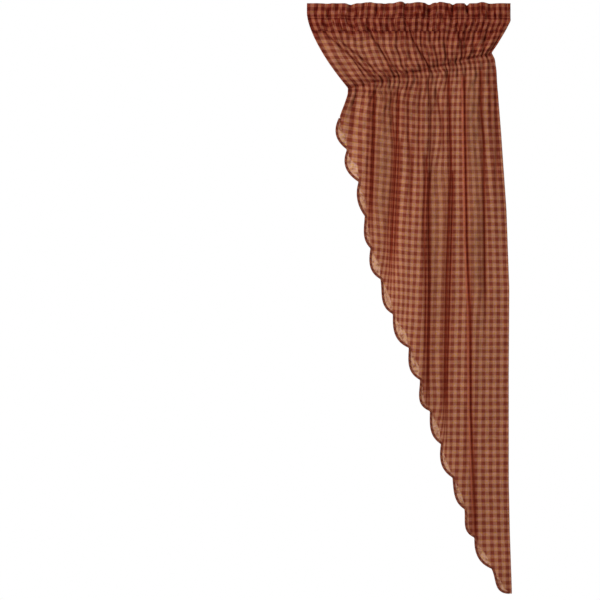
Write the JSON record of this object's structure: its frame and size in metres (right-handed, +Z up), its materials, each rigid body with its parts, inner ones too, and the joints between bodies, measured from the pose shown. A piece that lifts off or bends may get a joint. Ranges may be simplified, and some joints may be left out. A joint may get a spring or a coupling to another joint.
{
  "type": "scalloped curtain panel",
  "caption": "Long shirred curtain panel with a ruffled heading, a rod sleeve and a slanting scalloped edge with a narrow binding.",
  "frame": {"origin": "the middle of the heading's top edge, on the curtain's plane", "axes": "+X along the rod towards the long plain side, -Y out of the front face into the room, +Z up"},
  "size_m": [0.7358, 0.0425, 2.1202],
  "materials": {
    "gingham": "plain-woven cotton in a small dark red and tan check, matte",
    "binding": "the same cotton cut on the bias and folded over the edge, matte"
  },
  "bodies": {
    "root": {"heading": "gingham", "panel": "gingham", "scallop_binding": "binding"}
  },
  "joints": []
}
